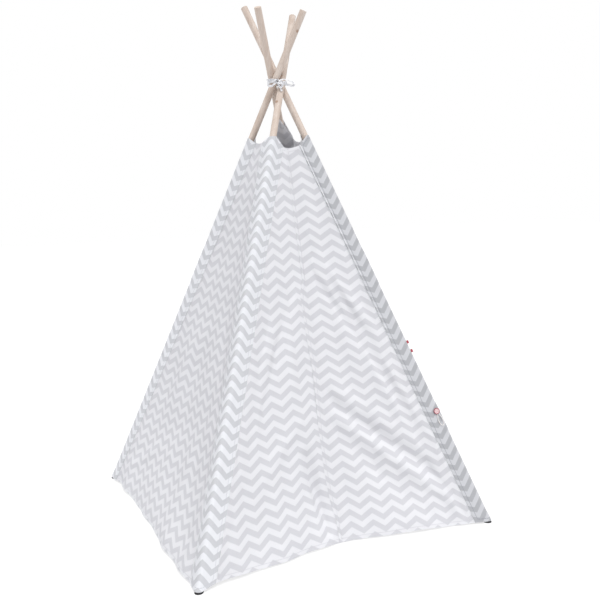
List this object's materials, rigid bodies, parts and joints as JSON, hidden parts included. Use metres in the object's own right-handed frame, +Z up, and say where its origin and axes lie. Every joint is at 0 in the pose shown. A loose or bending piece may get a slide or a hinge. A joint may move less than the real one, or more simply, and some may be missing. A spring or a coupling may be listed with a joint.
{
  "type": "play teepee tent",
  "caption": "Child's pyramid teepee tent: round wooden poles crossed and tied with a bow, sleeved chevron-print cotton cover, lapped door flaps that open out.",
  "frame": {"origin": "centre of the footprint on the floor", "axes": "+Z up, -Y towards the door, +X to the right of someone facing the door"},
  "size_m": [0.996, 0.996, 1.6556],
  "materials": {
    "pine": "sanded, unvarnished pine dowel",
    "steel": "rolled thin-wall tube",
    "rubber": "matte moulded",
    "cotton_print": "grey and white chevron print on white cotton canvas",
    "cotton_tape": "flat tape sewn from the cover's cloth",
    "button_plastic": "glossy red-pink",
    "pale_cord": "soft twisted cord",
    "pink_tape": "folded narrow tape"
  },
  "bodies": {
    "lashing": {"tie_wrap": "cotton_tape", "tie_bow": "cotton_tape"},
    "pole_front_left": {"pole_lower_front_left": "pine", "pole_upper_front_left": "pine", "ferrule_front_left": "steel", "foot_cap_front_left": "rubber", "sleeve_front_left": "cotton_print"},
    "pole_front_right": {"pole_lower_front_right": "pine", "pole_upper_front_right": "pine", "ferrule_front_right": "steel", "foot_cap_front_right": "rubber", "sleeve_front_right": "cotton_print", "tie_back_button": "button_plastic", "tie_back_loop": "pale_cord", "sleeve_tabs": "pink_tape"},
    "pole_back_right": {"pole_lower_back_right": "pine", "pole_upper_back_right": "pine", "ferrule_back_right": "steel", "foot_cap_back_right": "rubber", "sleeve_back_right": "cotton_print"},
    "pole_back_left": {"pole_lower_back_left": "pine", "pole_upper_back_left": "pine", "ferrule_back_left": "steel", "foot_cap_back_left": "rubber", "sleeve_back_left": "cotton_print"},
    "wall_front": {"front_panel_left": "cotton_print", "front_panel_right": "cotton_print"},
    "wall_right": {"wall_right": "cotton_print"},
    "wall_back": {"wall_back": "cotton_print"},
    "wall_left": {"wall_left": "cotton_print"},
    "door_left": {"door_flap_left": "cotton_print"},
    "door_right": {"door_flap_right": "cotton_print"}
  },
  "joints": [
    {"name": "fold", "type": "hinge", "parent": "lashing", "child": "pole_front_left", "pos_m": [0.01185, -0.01246, 1.41], "axis": [-0.6892, 0.7246, 0], "range_deg": [-21, 0], "deforming": ["wall_right", "wall_back", "wall_left", "front_panel_left", "front_panel_right", "door_flap_left", "door_flap_right", "tie_wrap"]},
    {"name": "fold_pole_front_right", "type": "hinge", "parent": "lashing", "child": "pole_front_right", "pos_m": [0.01246, 0.01185, 1.41], "axis": [-0.7246, -0.6892, 0], "range_deg": [-21, 0]},
    {"name": "fold_pole_back_right", "type": "hinge", "parent": "lashing", "child": "pole_back_right", "pos_m": [-0.01185, 0.01246, 1.41], "axis": [0.6892, -0.7246, 0], "range_deg": [-21, 0]},
    {"name": "fold_pole_back_left", "type": "hinge", "parent": "lashing", "child": "pole_back_left", "pos_m": [-0.01246, -0.01185, 1.41], "axis": [0.7246, 0.6892, 0], "range_deg": [-21, 0]},
    {"name": "fold_wall_front", "type": "hinge", "parent": "lashing", "child": "wall_front", "pos_m": [0, 0, 1.41], "axis": [-1, 0, 0], "range_deg": [-15.5, 0]},
    {"name": "fold_wall_right", "type": "hinge", "parent": "lashing", "child": "wall_right", "pos_m": [0, 0, 1.41], "axis": [0, -1, 0], "range_deg": [-15.5, 0]},
    {"name": "fold_wall_back", "type": "hinge", "parent": "lashing", "child": "wall_back", "pos_m": [0, 0, 1.41], "axis": [1, 0, 0], "range_deg": [-15.5, 0]},
    {"name": "fold_wall_left", "type": "hinge", "parent": "lashing", "child": "wall_left", "pos_m": [0, 0, 1.41], "axis": [0, 1, 0], "range_deg": [-15.5, 0]},
    {"name": "door_left_swing", "type": "hinge", "parent": "wall_front", "child": "door_left", "pos_m": [-0.00265, -0.13026, 0.94274], "axis": [-0.3941, -0.316, -0.863], "range_deg": [0, 135]},
    {"name": "door_right_swing", "type": "hinge", "parent": "wall_front", "child": "door_right", "pos_m": [0.00228, -0.13215, 0.94326], "axis": [-0.3941, 0.316, 0.863], "range_deg": [0, 135]}
  ],
  "couplings": [
    {"joint": "fold_pole_front_right", "follows": "fold", "ratio": 1},
    {"joint": "fold_pole_back_right", "follows": "fold", "ratio": 1},
    {"joint": "fold_pole_back_left", "follows": "fold", "ratio": 1},
    {"joint": "fold_wall_front", "follows": "fold", "ratio": 0.738},
    {"joint": "fold_wall_right", "follows": "fold", "ratio": 0.738},
    {"joint": "fold_wall_back", "follows": "fold", "ratio": 0.738},
    {"joint": "fold_wall_left", "follows": "fold", "ratio": 0.738}
  ]
}
